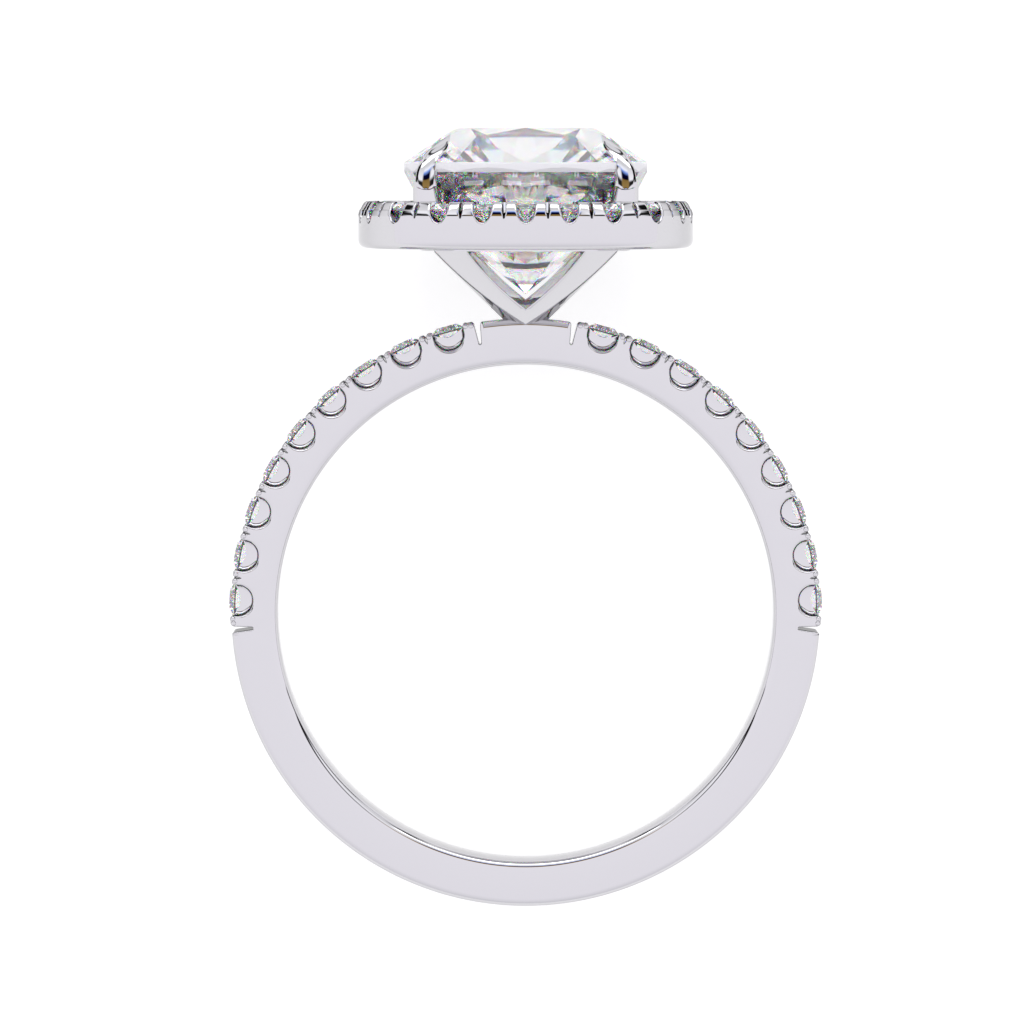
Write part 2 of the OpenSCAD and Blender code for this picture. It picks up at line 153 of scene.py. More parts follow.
def add_vector(nodes, links, operation, first, second=None):
    node = nodes.new("ShaderNodeVectorMath")
    node.operation = operation
    links.new(first, node.inputs[0])
    if isinstance(second, Vector):
        node.inputs[1].default_value = second
    elif second:
        links.new(second, node.inputs[1])
    return node.outputs


def make_metal(name, edge_tint):
    """Polished metal, whose gloss the polishing left a little uneven, with a given colour for its
    reflections at a low angle; a black one paints dark shade along the edges.
    """
    material, nodes, links = new_material(name)
    output = nodes.new("ShaderNodeOutputMaterial")
    shader = nodes.new("ShaderNodeBsdfPrincipled")
    shader.inputs["Metallic"].default_value = 1
    shader.inputs["Base Color"].default_value = METAL_COLOUR
    shader.inputs["Specular Tint"].default_value = edge_tint
    links.new(add_noise(nodes, links, scale=1200, low=0.02, high=0.045), shader.inputs["Roughness"])
    links.new(shader.outputs["BSDF"], output.inputs["Surface"])
    return material


def add_place(nodes, links):
    """The place from the middle of the finger hole."""
    coordinates = nodes.new("ShaderNodeTexCoord")
    return add_vector(nodes, links, "SUBTRACT", coordinates.outputs["Object"], hole_middle)[0]


def mask_centre_girdle(nodes, links):
    """One between the heights of the centre stone's girdle."""
    place = add_place(nodes, links)
    height = add_vector(nodes, links, "DOT_PRODUCT", place, head_up / MM)["Value"]
    above = add_math(nodes, links, "GREATER_THAN", height, GIRDLE[0])
    below = add_math(nodes, links, "LESS_THAN", height, GIRDLE[1])
    return add_math(nodes, links, "MULTIPLY", above, below)


def mask_band_girdles(nodes, links):
    """One where a band stone's facet stands square to the way out from the finger hole: its girdle, where
    dark shade is painted.
    """
    place = add_place(nodes, links)
    flat = add_vector(nodes, links, "CROSS_PRODUCT", place, front)[0]
    reach = add_vector(nodes, links, "LENGTH", flat)["Value"]
    out = add_vector(nodes, links, "CROSS_PRODUCT", flat, -front)[0]
    out = add_vector(nodes, links, "NORMALIZE", out)[0]
    facet = nodes.new("ShaderNodeNewGeometry").outputs["True Normal"]
    lean = add_vector(nodes, links, "DOT_PRODUCT", out, facet)["Value"]
    lean = add_math(nodes, links, "ABSOLUTE", lean)
    square = add_math(nodes, links, "LESS_THAN", lean, GIRDLE_LEAN)
    near = add_math(nodes, links, "LESS_THAN", reach, BAND_REACH * MM)
    return add_math(nodes, links, "MULTIPLY", square, near)


def make_diamond(name, iors, shares, mask, girdle_frost_and_shade_colour):
    """Glass for each of the three colours, with its own refraction, and a girdle in a flat colour:
    frost-white on the centre stone, painted dark shade on the band's stones.
    """
    material, nodes, links = new_material(name)
    output = nodes.new("ShaderNodeOutputMaterial")
    roughness = add_noise(nodes, links, scale=2000, low=0, high=0.004)
    own, other = shares
    total = None
    for channel, ior in enumerate(iors):
        glass = nodes.new("ShaderNodeBsdfGlass")
        tint = [other, other, other, 1]
        tint[channel] = own
        glass.inputs["Color"].default_value = tint
        links.new(roughness, glass.inputs["Roughness"])
        glass.inputs["IOR"].default_value = ior
        if total is None:
            total = glass.outputs[0]
        else:
            add = nodes.new("ShaderNodeAddShader")
            links.new(total, add.inputs[0])
            links.new(glass.outputs[0], add.inputs[1])
            total = add.outputs[0]
    # The girdle's flat colour: frost on the centre stone, painted shade on the band's stones
    girdle_frost_and_shade_bsdf = nodes.new("ShaderNodeBsdfPrincipled")
    girdle_frost_and_shade_bsdf.inputs["Base Color"].default_value = girdle_frost_and_shade_colour
    links.new(add_noise(nodes, links, scale=4000, low=0.35, high=0.6), girdle_frost_and_shade_bsdf.inputs["Roughness"])
    choice = nodes.new("ShaderNodeMixShader")
    links.new(mask(nodes, links), choice.inputs[0])
    links.new(total, choice.inputs[1])
    links.new(girdle_frost_and_shade_bsdf.outputs[0], choice.inputs[2])
    links.new(choice.outputs[0], output.inputs["Surface"])
    return material


def make_floor_material():
    """Plain paper that glows a little, so that it looks as white as the photo's ground."""
    material, nodes, links = new_material("studio_paper")
    output = nodes.new("ShaderNodeOutputMaterial")
    shader = nodes.new("ShaderNodeBsdfPrincipled")
    shader.inputs["Base Color"].default_value = FLOOR_COLOUR
    shader.inputs["Roughness"].default_value = 1
    shader.inputs["Specular IOR Level"].default_value = 0
    shader.inputs["Emission Color"].default_value = (1, 1, 1, 1)
    shader.inputs["Emission Strength"].default_value = FLOOR_GLOW
    links.new(shader.outputs["BSDF"], output.inputs["Surface"])
    return material


def make_floor():
    mesh = bpy.data.meshes.new("floor")
    corners = [(x * FLOOR_HALF, y * FLOOR_HALF, 0) for x, y in ((-1, -1), (1, -1), (1, 1), (-1, 1))]
    mesh.from_pydata(corners, [], [(0, 1, 2, 3)])
    mesh.materials.append(make_floor_material())
    floor = bpy.data.objects.new("floor", mesh)
    bpy.context.collection.objects.link(floor)


# Light
# Colours of the studio by the angle in degrees above the ring's own level, towards its head:
# in front of the ring, at an angle to it, and beside and behind it
SKY_LOW = ((-90, (0.78, 0.77, 0.82)), (-60, (0.98, 0.97, 1.02)), (-20, (1.15, 1.13, 1.19)))
SKY_TOP = ((68, (1.13, 1.13, 1.15)), (70, (0.04, 0.04, 0.04)), (73.5, (0.04, 0.04, 0.04)),
           (76, (1.04, 1.04, 1.07)))
SKY_FRONT = SKY_LOW + (
    (20, (1.21, 1.19, 1.25)), (22, (0.49, 0.32, 0.11)), (27.5, (0.34, 0.21, 0.06)),
    (28.5, (0.0, 0.0, 0.01)), (33, (0.0, 0.0, 0.04)), (36, (0.31, 0.51, 1.23)),
    (39, (1.41, 1.45, 1.59)), (46, (0.96, 0.96, 0.98))) + SKY_TOP
SKY_ASIDE = SKY_LOW + (
    (19, (1.21, 1.19, 1.25)), (20.5, (0.02, 0.02, 0.02)), (25, (0.02, 0.02, 0.02)),
    (28, (1.41, 1.41, 1.47)), (46, (0.96, 0.96, 0.98)), (52, (0.96, 0.96, 0.98)),
    (54, (0.04, 0.04, 0.04)), (60, (0.04, 0.04, 0.04)), (62, (1.1, 1.1, 1.13))) + SKY_TOP
SKY_BESIDE = SKY_LOW + (
    (13, (1.19, 1.16, 1.23)), (14.5, (0.01, 0.01, 0.01)), (44, (0.01, 0.01, 0.01)),
    (48, (1.1, 1.1, 1.16)), (56, (1.1, 1.1, 1.16)), (59, (0.06, 0.06, 0.06)),
    (64, (0.06, 0.06, 0.06)), (66, (1.1, 1.1, 1.1))) + SKY_TOP
# Between these angles from the front, one sky passes into the next
FRONT_TO_ASIDE = (16, 24)
ASIDE_TO_BESIDE = (72, 84)
# The lamp's angle above the way to the front, its distance, its sides and its power
KEY_TILT = radians(60)
KEY_DISTANCE = 0.7
KEY_SIZE = (0.8, 0.15)
KEY_WATTS = 1.0
# A diamond turns light round many times before it leaves
BOUNCES = 28


def make_world():
    world = bpy.data.worlds.new("studio")
    world.use_nodes = True
    nodes = world.node_tree.nodes
    links = world.node_tree.links
    nodes.clear()
    output = nodes.new("ShaderNodeOutputWorld")
    background = nodes.new("ShaderNodeBackground")
    coordinates = nodes.new("ShaderNodeTexCoord")

    def share_along(axis):
        return add_vector(nodes, links, "DOT_PRODUCT", coordinates.outputs["Generated"], axis)["Value"]

    def add_sky(sky, height):
        ramp = nodes.new("ShaderNodeValToRGB")
        elements = ramp.color_ramp.elements
        while len(elements) < len(sky):
            elements.new(1.0)
        for element, (degrees_up, colour) in zip(elements, sky):
            element.position = degrees_up / 180 + 0.5
            element.color = (*colour, 1)
        links.new(height, ramp.inputs["Fac"])
        return ramp.outputs["Color"]

    def add_mix(first, second, turn, passage):
        ramp = nodes.new("ShaderNodeMapRange")
        ramp.inputs["From Min"].default_value = radians(passage[0])
        ramp.inputs["From Max"].default_value = radians(passage[1])
        links.new(turn, ramp.inputs["Value"])
        mix = nodes.new("ShaderNodeMix")
        mix.data_type = "RGBA"
        links.new(ramp.outputs["Result"], mix.inputs["Factor"])
        links.new(first, mix.inputs[6])
        links.new(second, mix.inputs[7])
        return mix.outputs[2]

    height = add_math(nodes, links, "ARCSINE", share_along(head_up))
    height = add_math(nodes, links, "MULTIPLY_ADD", height, 1 / pi, 0.5)
    aside = add_math(nodes, links, "ABSOLUTE", share_along(across))
    turn = add_math(nodes, links, "ARCTAN2", aside, share_along(front))
    colour = add_mix(add_sky(SKY_FRONT, height), add_sky(SKY_ASIDE, height), turn, FRONT_TO_ASIDE)
    colour = add_mix(colour, add_sky(SKY_BESIDE, height), turn, ASIDE_TO_BESIDE)
    links.new(colour, background.inputs["Color"])
    # The camera itself sees plain white beyond the floor
    plain = nodes.new("ShaderNodeBackground")
    plain.inputs["Color"].default_value = (1, 1, 1, 1)
    path = nodes.new("ShaderNodeLightPath")
    choice = nodes.new("ShaderNodeMixShader")
    links.new(path.outputs["Is Camera Ray"], choice.inputs[0])
    links.new(background.outputs[0], choice.inputs[1])
    links.new(plain.outputs[0], choice.inputs[2])
    links.new(choice.outputs[0], output.inputs["Surface"])
    bpy.context.scene.world = world


def make_key_light():
    data = bpy.data.lights.new("key", "AREA")
    data.shape = "RECTANGLE"
    data.size, data.size_y = KEY_SIZE
    data.energy = KEY_WATTS
    light = bpy.data.objects.new("key", data)
    direction = (cos(KEY_TILT) * front + sin(KEY_TILT) * head_up).normalized()
    light.location = direction * KEY_DISTANCE
    light.rotation_euler = direction.to_track_quat("Z", "Y").to_euler()
    bpy.context.collection.objects.link(light)


# Mesh tools
# Points nearer than the first become one, and edges shorter than the second go, in metres
MERGE_DISTANCE = 1e-6
TINY_EDGE = 1e-7
# Points of a fill nearer than this are one, in millimetres
FILL_DISTANCE = 1e-7
# Faces that meet at more than this many degrees keep a sharp edge
SHARP_ANGLE = 38
NORMAL_WEIGHT = 75


class Shell:
    """Grids and fills in upright millimetres that are joined into one closed mesh.

    A face whose first point passes is_small gets the second material, and the others get the first; the
    details' second material paints dark shade along their edges.
    """

    def __init__(self, is_small=lambda p: False):
        self.points = []
        self.faces = []
        self.kinds = []
        self.is_small = is_small

    def add_grid(self, rows, closed=False):
        """Adds a grid of points; a closed one joins its last column to its first."""
        start = len(self.points)
        wide = len(rows[0])
        for row in rows:
            self.points.extend(row)
        columns = wide if closed else wide - 1
        for k in range(len(rows) - 1):
            for j in range(columns):
                a = start + k * wide + j
                b = start + k * wide + (j + 1) % wide
                self.faces.append((a, b, b + wide, a + wide))
                self.kinds.append(int(self.is_small(self.points[a])))

    def add_fill(self, loops, place, hole_r=0):
        """Fills the plane region inside the first loop and outside a round hole."""
        flat = [Vector(p) for loop in loops for p in loop]
        edges = []
        first = 0
        for loop in loops:
            edges += [(first + i, first + (i + 1) % len(loop)) for i in range(len(loop))]
            first += len(loop)
        points, _, faces, *_ = geometry.delaunay_2d_cdt(flat, edges, [], 2, FILL_DISTANCE)
        start = len(self.points)
        self.points.extend(place(p.x, p.y) for p in points)
        for face in faces:
            middle = sum((points[i] for i in face), Vector((0, 0))) / len(face)
            if middle.length > hole_r:
                self.faces.append(tuple(start + i for i in face))
                self.kinds.append(0)

    def make(self, name, materials, sharp=SHARP_ANGLE):
        mesh = bpy.data.meshes.new(name)
        mesh.from_pydata([LAY @ Vector(p) for p in self.points], [], self.faces)
        mesh.polygons.foreach_set("material_index", self.kinds)
        for material in materials:
            mesh.materials.append(material)
        bm = bmesh.new()
        bm.from_mesh(mesh)
        bmesh.ops.remove_doubles(bm, verts=bm.verts, dist=MERGE_DISTANCE)
        bmesh.ops.dissolve_degenerate(bm, dist=TINY_EDGE, edges=bm.edges)
        loose = [v for v in bm.verts if not v.link_faces]
        bmesh.ops.delete(bm, geom=loose, context="VERTS")
        bmesh.ops.recalc_face_normals(bm, faces=bm.faces)
        bm.to_mesh(mesh)
        bm.free()
        mesh.shade_smooth()
        mesh.set_sharp_from_angle(angle=radians(sharp))
        piece = bpy.data.objects.new(name, mesh)
        bpy.context.collection.objects.link(piece)
        normals = piece.modifiers.new("normals", "WEIGHTED_NORMAL")
        normals.weight = NORMAL_WEIGHT
        normals.keep_sharp = True
        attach(piece, "root")
        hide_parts("band_and_setting")
        return piece


# Turns over a rounded edge, from the face that it starts on to the face beside it
EDGE_TURNS = [radians(90 * i / 6) for i in range(7)]


def smooth_step(value, low, high):
    share = min(max((value - low) / (high - low), 0), 1)
    return share * share * (3 - 2 * share)


# Seats of the small stones: a round hole with a cone below it, by the height over the girdle
SEAT_R = 0.63
SEAT_LOW = -0.051
SEAT_POINT_R = 0.04
SEAT_DEPTH = 0.516
SEAT_FALL = (SEAT_R - SEAT_POINT_R) / SEAT_DEPTH


def seat_radius(h):
    return SEAT_R - max(SEAT_LOW - h, 0) * SEAT_FALL


# Band
HOLE_R = finger_hole["dims"]["r_mm"]
BAND_T = 1.58
BAND_R = HOLE_R + BAND_T
BAND_HALF = 1.0
PLAIN_EDGE = 0.27
COMFORT_EDGE = 0.29
HOLE_STEPS = 288
# The stones: how many on a side, and their places in degrees from the top
BAND_SIDE_COUNT = 9
BAND_FIRST = 15.5
BAND_STEP = 9.0
BAND_STONE_R = 9.969
# A stone's window: its radius, its middle's height over the band's outside, the rounding of its
# edge and how much wider the rounding is at the window's floor
WINDOW_R = 0.53
WINDOW_FLOOR = -0.21
WINDOW_EDGE = 0.07
WINDOW_EDGE_MORE = 0.06
WINDOW_STEPS = 24
# The wall between the front window and the back window, and its rounded foot
WEB_HALF = 0.48
WEB_FOOT = 0.15
WEB_HALVINGS = 20
# Beads and the notch between two of them
BEAD_FOOT = -0.09
BEAD_RISE = 0.11
BEAD_EDGE = 0.05
BEAD_STEPS = 9
POST_HALF = 0.035
POST_EDGE = 0.035
POST_NOTCH = ((-0.016, -0.24), (0, -0.285), (0.016, -0.24))
POST_NOTCH_EDGE = 0.03
# The ridge between a front bead and a back bead: its height, and where along Y it begins and ends
RIDGE_SHARE = 0.2
RIDGE_ENDS = (0.3, 0.5)
# Nearer to a stone's middle than this, no point of the rim is moved aside to the seat
SEAT_ASIDE = 0.3
# Open slots at the ends of a row of stones
SLOT_HALF = 0.1
SLOT_LOW = 0.045
SLOT_EDGE = 0.05
SLOT_DEPTH = 0.74
SLOT_LIP = 0.1
SLOT_TURNS = range(180, 361, 20)
TOP_SLOT = 9.55
LAST_SLOT = BAND_FIRST + (BAND_SIDE_COUNT - 1) * BAND_STEP + 5.7
TOP_STEPS = 9
PLAIN_STEPS = 58
# The stretch of small details reaches this far in, and past its slots by this many degrees
DETAIL_R = 9.35
DETAIL_MARGIN = 1
# Rows across the band's outside, as shares of the way from its middle to its face
BAND_ROWS = (-0.85, -0.77, -0.7, -0.672, -0.639, -0.606, -0.572, -0.55, -0.5335, -0.532, -0.4,
             -0.34, -0.26, -0.13, 0)
# Rows beyond this share end at the edge's rounding, and the others a fixed way from the face
OUTER_ROWS = 0.4
INNER_ROWS_END = 0.1
# Kinds of points on the band's rim
PLAIN, BEAD, WINDOW = 0, 1, 2


def on_band(angle, t, h):
    """A point of the XZ plane: t along the band's outside and h out from it, at an angle from the top."""
    a = radians(angle)
    return ((BAND_R + h) * sin(a) + t * cos(a), (BAND_R + h) * cos(a) - t * sin(a))


def band_rim():
    """The band's outer rim on the right side, from the top down: x, z, edge rounding, kind."""
    rim = []

    def put(angle, t, h, edge, kind=PLAIN):
        rim.append((*on_band(angle, t, h), edge, kind))

    def put_bead(start, end, edges):
        """Half an ellipse from one foot to the other."""
        a, b = Vector(start), Vector(end)
        middle, half = (a + b) / 2, (b - a) / 2
        out = middle.normalized() * BEAD_RISE
        for i in range(BEAD_STEPS + 1):
            turn = radians(180 * i / BEAD_STEPS)
            p = middle - half * cos(turn) + out * sin(turn)
            edge = edges[0] + (edges[1] - edges[0]) * i / BEAD_STEPS
            rim.append((p.x, p.y, edge, BEAD if 0 < i < BEAD_STEPS else PLAIN))

    def put_lip(angle, side, turns):
        """The rounded corner between the band's outside and a slot."""
        for turn in turns:
            put(angle, side * (SLOT_HALF + SLOT_LIP) + SLOT_LIP * cos(radians(turn)),
                -SLOT_LIP + SLOT_LIP * sin(radians(turn)), PLAIN_EDGE if turn == 90 else SLOT_EDGE)

    def put_slot_floor(angle):
        low = -SLOT_DEPTH + SLOT_LOW
        for turn in SLOT_TURNS:
            put(angle, SLOT_LOW * cos(radians(turn)), low + SLOT_LOW * sin(radians(turn)), SLOT_EDGE)

    def put_window(stone):
        for i in range(WINDOW_STEPS + 1):
            turn = radians(90 * (2 * i / WINDOW_STEPS - 1))
            put(stone, WINDOW_R * sin(turn), WINDOW_FLOOR - WINDOW_R * cos(turn),
                WINDOW_EDGE + WINDOW_EDGE_MORE * cos(turn), WINDOW)

    lip_turn = (SLOT_HALF + SLOT_LIP) / BAND_R * 180 / pi
    for i in range(TOP_STEPS):
        put((TOP_SLOT - lip_turn) * i / TOP_STEPS, 0, 0, PLAIN_EDGE)
    put_lip(TOP_SLOT, -1, (90, 60, 30, 0))
    put_slot_floor(TOP_SLOT)
    foot = on_band(TOP_SLOT, SLOT_HALF, BEAD_FOOT)
    for k in range(BAND_SIDE_COUNT):
        stone = BAND_FIRST + k * BAND_STEP
        put_bead(foot, on_band(stone, -WINDOW_R, BEAD_FOOT), (BEAD_EDGE, WINDOW_EDGE))
        put_window(stone)
        side = on_band(stone, WINDOW_R, BEAD_FOOT)
        if k == BAND_SIDE_COUNT - 1:
            put_bead(side, on_band(LAST_SLOT, -SLOT_HALF, BEAD_FOOT), (WINDOW_EDGE, BEAD_EDGE))
        else:
            post = stone + BAND_STEP / 2
            put_bead(side, on_band(post, -POST_HALF, BEAD_FOOT), (WINDOW_EDGE, POST_EDGE))
            for t, h in POST_NOTCH:
                put(post, t, h, POST_NOTCH_EDGE)
            foot = on_band(post, POST_HALF, BEAD_FOOT)
    put_slot_floor(LAST_SLOT)
    put_lip(LAST_SLOT, 1, (180, 150, 120, 90))
    start = LAST_SLOT + lip_turn
    for i in range(1, PLAIN_STEPS + 1):
        put(start + (180 - start) * i / PLAIN_STEPS, 0, 0, PLAIN_EDGE)
    return rim


def clear_band_seat(x, y, z, kind):
    """Moves a point of the band's rim onto or out of the nearest stone's seat."""
    angle = degrees(atan2(abs(x), z))
    nearest = min(max(round((angle - BAND_FIRST) / BAND_STEP), 0), BAND_SIDE_COUNT - 1)
    a = radians(BAND_FIRST + BAND_STEP * nearest)
    side = 1 if x >= 0 else -1
    t = side * x * cos(a) - z * sin(a)
    h = side * x * sin(a) + z * cos(a)
    if kind == WINDOW and abs(y) < WEB_HALF:
        # The wall under the stone is cut off by its seat
        low, high = 0, 1
        for _ in range(WEB_HALVINGS):
            s = (low + high) / 2
            if hypot(t * (1 - s), y) > seat_radius(h + (BAND_R + WINDOW_FLOOR - h) * s - BAND_STONE_R):
                low = s
            else:
                high = s
        t, h = t * (1 - low), h + (BAND_R + WINDOW_FLOOR - h) * low
    elif kind == WINDOW and abs(y) < WEB_HALF + WEB_FOOT:
        # The wall's rounded foot
        share = (WEB_HALF + WEB_FOOT - abs(y)) / WEB_FOOT
        s = WEB_FOOT * (1 - sqrt(1 - share * share)) / WINDOW_R
        t, h = t * (1 - s), h + (BAND_R + WINDOW_FLOOR - h) * s
    if kind == BEAD:
        # The ridge between a front bead and a back bead lies lower
        foot = (BAND_R + BEAD_FOOT) / hypot(x, z)
        share = RIDGE_SHARE + (1 - RIDGE_SHARE) * smooth_step(abs(y), *RIDGE_ENDS)
        t += t * (foot - 1) * (1 - share)
        h += h * (foot - 1) * (1 - share)
    r = seat_radius(h - BAND_STONE_R)
    if abs(y) < r and SEAT_ASIDE < abs(t) < sqrt(r * r - y * y):
        t = sqrt(r * r - y * y) * (1 if t > 0 else -1)
    return side * (h * sin(a) + t * cos(a)), y, h * cos(a) - t * sin(a)


def is_row_detail(p):
    """Whether a point of the band is among its rows of stones."""
    angle = degrees(atan2(abs(p[0]), p[2]))
    return hypot(p[0], p[2]) > DETAIL_R and TOP_SLOT - DETAIL_MARGIN < angle < LAST_SLOT + DETAIL_MARGIN


def make_band(materials):
    shell = Shell(is_row_detail)
    right = band_rim()
    rim = right + [(-x, z, edge, kind) for x, z, edge, kind in reversed(right[1:-1])]
    count = len(rim)
    normals = []
    for i in range(count):
        before, here, after = (Vector(rim[j % count][:2]) for j in (i - 1, i, i + 1))
        along = (here - before) + (after - here)
        normals.append(Vector((-along.y, along.x)).normalized())

    def edge_row(side, turn):
        """A row of the rounded edge between the front face or the back face and the outside."""
        inward = 1 - sin(turn)
        return [(x - n.x * edge * inward, side * (BAND_HALF - edge * (1 - cos(turn))),
                 z - n.y * edge * inward, kind)
                for (x, z, edge, kind), n in zip(rim, normals)]

    def outside_row(share):
        row = []
        for x, z, edge, kind in rim:
            end = edge if abs(share) > OUTER_ROWS and kind != WINDOW else INNER_ROWS_END
            row.append((x, share * (BAND_HALF - end), z, kind))
        return row

    rows = [edge_row(-1, turn) for turn in EDGE_TURNS]
    rows += [outside_row(share) for share in BAND_ROWS]
    rows += [outside_row(-share) for share in reversed(BAND_ROWS[:-1])]
    rows += [edge_row(1, turn) for turn in reversed(EDGE_TURNS)]
    shell.add_grid([[clear_band_seat(*point) for point in row] for row in rows], closed=True)

    outer = [(p[0], p[2]) for p in rows[0]]
    hole = [radians(360 * i / HOLE_STEPS) for i in range(HOLE_STEPS)]
    face_r = HOLE_R + COMFORT_EDGE
    inner = [(face_r * sin(a), face_r * cos(a)) for a in hole]
    for y in (-BAND_HALF, BAND_HALF):
        shell.add_fill([outer, inner], lambda u, v, y=y: (u, y, v), face_r)
    shell.is_small = lambda p: False
    bore = []
    for side, turns in ((-1, EDGE_TURNS), (1, EDGE_TURNS[::-1])):
        for turn in turns:
            r = HOLE_R + COMFORT_EDGE * (1 - sin(turn))
            y = side * (BAND_HALF - COMFORT_EDGE * (1 - cos(turn)))
            bore.append([(r * sin(a), y, r * cos(a)) for a in hole])
    shell.add_grid(bore, closed=True)
    return shell.make("band", materials)


# Round ends of the beads, beside the band's stones
KNOB_R = 0.1
KNOB_ASIDE = 0.115
KNOB_H = -0.08
KNOB_Y = 0.95
KNOB_STEPS = 8


def add_ball(shell, middle, r):
    rows = []
    for i in range(KNOB_STEPS + 1):
        up = radians(180 * i / KNOB_STEPS - 90)
        row = []
        for j in range(2 * KNOB_STEPS):
            turn = radians(180 * j / KNOB_STEPS)
            row.append((middle[0] + r * cos(up) * cos(turn), middle[1] + r * sin(up),
                        middle[2] + r * cos(up) * sin(turn)))
        rows.append(row)
    shell.add_grid(rows, closed=True)


def make_knobs(materials):
    shell = Shell(lambda p: True)
    places = [(TOP_SLOT, SLOT_HALF + KNOB_ASIDE), (LAST_SLOT, -SLOT_HALF - KNOB_ASIDE)]
    for k in range(BAND_SIDE_COUNT - 1):
        post = BAND_FIRST + (k + 0.5) * BAND_STEP
        places += [(post, -KNOB_ASIDE), (post, KNOB_ASIDE)]
    places.append((BAND_FIRST, -WINDOW_R - KNOB_R))
    places.append((BAND_FIRST + (BAND_SIDE_COUNT - 1) * BAND_STEP, WINDOW_R + KNOB_R))
    for angle, t in places:
        x, z = on_band(angle, t, KNOB_H)
        for side in (-1, 1):
            for y in (-KNOB_Y, KNOB_Y):
                add_ball(shell, (side * x, y, z), KNOB_R)
    return shell.make("bead_ends", materials)


# Halo
HALO_HALF = 5.74
HALO_DIAGONAL = 6.265
SIDE_BOW = 11.0
HALO_LOW = 12.48
HALO_EDGE = 0.27
WALL_TOP = 13.6
BEAD_TOP = 14.08
HALO_INSET = 0.75
HALO_STONE_Z = 13.809
HALO_COUNT = 24
HALO_SHARP_ANGLE = 22
# The halo's windows end in half an ellipse
HALO_WINDOW_HALF = 0.31
HALO_WINDOW_Z = 13.95
HALO_WINDOW_DROP = 0.55
HALO_WINDOW_STEPS = 10
WINDOW_HALVINGS = 40
HALO_RIM = 0.075
# A point leaves a stone's seat in steps of this size, and this many at most
CLEAR_STEP = 0.01
CLEAR_STEPS = 40
# The ridge between an outer bead and an inner bead: its height, and where along its way it begins
# and ends, from the stones' own line
HALO_RIDGE_SHARE = 0.25
HALO_RIDGE_ENDS = (0.25, 0.42)
# The notch between two posts: its foot, its first step up, its half width and how it narrows
NOTCH_LOW = 13.51
NOTCH_STEP = NOTCH_LOW + 0.045
NOTCH_HALF = 0.055
NOTCH_RISE = 0.25
NOTCH_DEPTH = 0.95
NOTCH_TAPER = 0.7
NOTCH_RIM = 0.05
# The halo's inner wall and the shelf that carries the basket
INNER_WALL = 1.5
SHELF_LOW = HALO_LOW - 0.08
SHELF_TOP = HALO_LOW + 0.38
SHELF_OUTER = 2.14
SHELF_INNER = 2.85
# The halo's underside, from its outer edge to its inner wall: inset, height, and the share of the
# way from the outer wall's angles to the inner wall's
UNDERSIDE = ((SHELF_OUTER, HALO_LOW, 0.3), (SHELF_OUTER, SHELF_LOW, 0.3), (SHELF_INNER, SHELF_LOW, 0.5),
             (SHELF_INNER, SHELF_TOP, 0.5), (INNER_WALL, SHELF_TOP, 1))
# The outer skin above the wall: height and inset of the polished strip, the ledge, the bead's face
SKIN = ((13.6, 0.0), (13.606, 0.001), (13.65, 0.0112), (13.69, 0.0215), (13.72, 0.0304), (13.75, 0.0396),
        (13.77, 0.0462), (13.787, 0.0523), (13.811, 0.0823), (13.86, 0.1051), (13.91, 0.13),
        (13.955, 0.1542), (13.995, 0.1785), (14.03, 0.205), (14.054, 0.233), (14.07, 0.262),
        (14.078, 0.286), (14.08, 0.31))
WALL_INSETS = (0.4, 0.45, 0.5, 0.56, 0.62, 0.68, 0.75, 0.85, 0.95, 1.05, 1.15, 1.25, 1.35, 1.42, 1.5)
NOTCH_INSETS = WALL_INSETS[:9]
# Columns between a window and a notch, and rows of the outer wall, as shares of the way
POST_SHARES = (0, 0.15, 0.4, 0.65, 0.88, 1)
WALL_SHARES = (0.3, 0.65, 1)
LOW_EDGE_STEPS = 6

# The corners' arc, which touches the arcs of the two sides and passes through the diagonal's end
root2 = sqrt(2)
corner_r = ((2 * SIDE_BOW * HALO_HALF - root2 * SIDE_BOW * HALO_DIAGONAL - HALO_DIAGONAL ** 2
             + root2 * HALO_HALF * HALO_DIAGONAL - HALO_HALF ** 2)
            / (2 * SIDE_BOW - root2 * SIDE_BOW + root2 * HALO_HALF - 2 * HALO_DIAGONAL))
corner_c = (HALO_DIAGONAL - corner_r) / root2
join_angle = degrees(atan2(corner_c, corner_c - HALO_HALF + SIDE_BOW))


def outline_point(angle, inset):
    """A point of the head's outline, by its wall's outward angle in degrees from +Y towards +X."""
    side = floor((angle + 45) / 90)
    a = angle - 90 * side
    if abs(a) <= join_angle:
        x = (SIDE_BOW - inset) * sin(radians(a))
        y = HALO_HALF - SIDE_BOW + (SIDE_BOW - inset) * cos(radians(a))
    else:
        x = copysign(corner_c, a) + (corner_r - inset) * sin(radians(a))
        y = corner_c + (corner_r - inset) * cos(radians(a))
    turn = radians(90 * side)
    return x * cos(turn) + y * sin(turn), y * cos(turn) - x * sin(turn)


def outline_run(angle, inset):
    """The way along the outline from angle 0, at an inset."""
    side = floor((angle + 45) / 90)
    a = radians(angle - 90 * side)
    join = radians(join_angle)
    side_run = (SIDE_BOW - inset) * min(abs(a), join)
    corner_run = (corner_r - inset) * max(abs(a) - join, 0)
    quarter = 2 * ((SIDE_BOW - inset) * join + (corner_r - inset) * (radians(45) - join))
    return side * quarter + copysign(side_run + corner_run, a)


def outline_angle(run, inset):
    """The wall's outward angle after a way along the outline."""
    join = radians(join_angle)
    side_run = (SIDE_BOW - inset) * join
    quarter = 2 * (side_run + (corner_r - inset) * (radians(45) - join))
    side = floor(run / quarter + 0.5)
    rest = run - side * quarter
    side_turn = min(abs(rest), side_run) / (SIDE_BOW - inset)
    corner_turn = max(abs(rest) - side_run, 0) / (corner_r - inset)
    return 90 * side + degrees(copysign(side_turn + corner_turn, rest))


def beside(angle, t, inset):
    """The outline angle of a point t along from the place at an angle, measured at its own inset."""
    return outline_angle(outline_run(angle, inset) + t, inset)


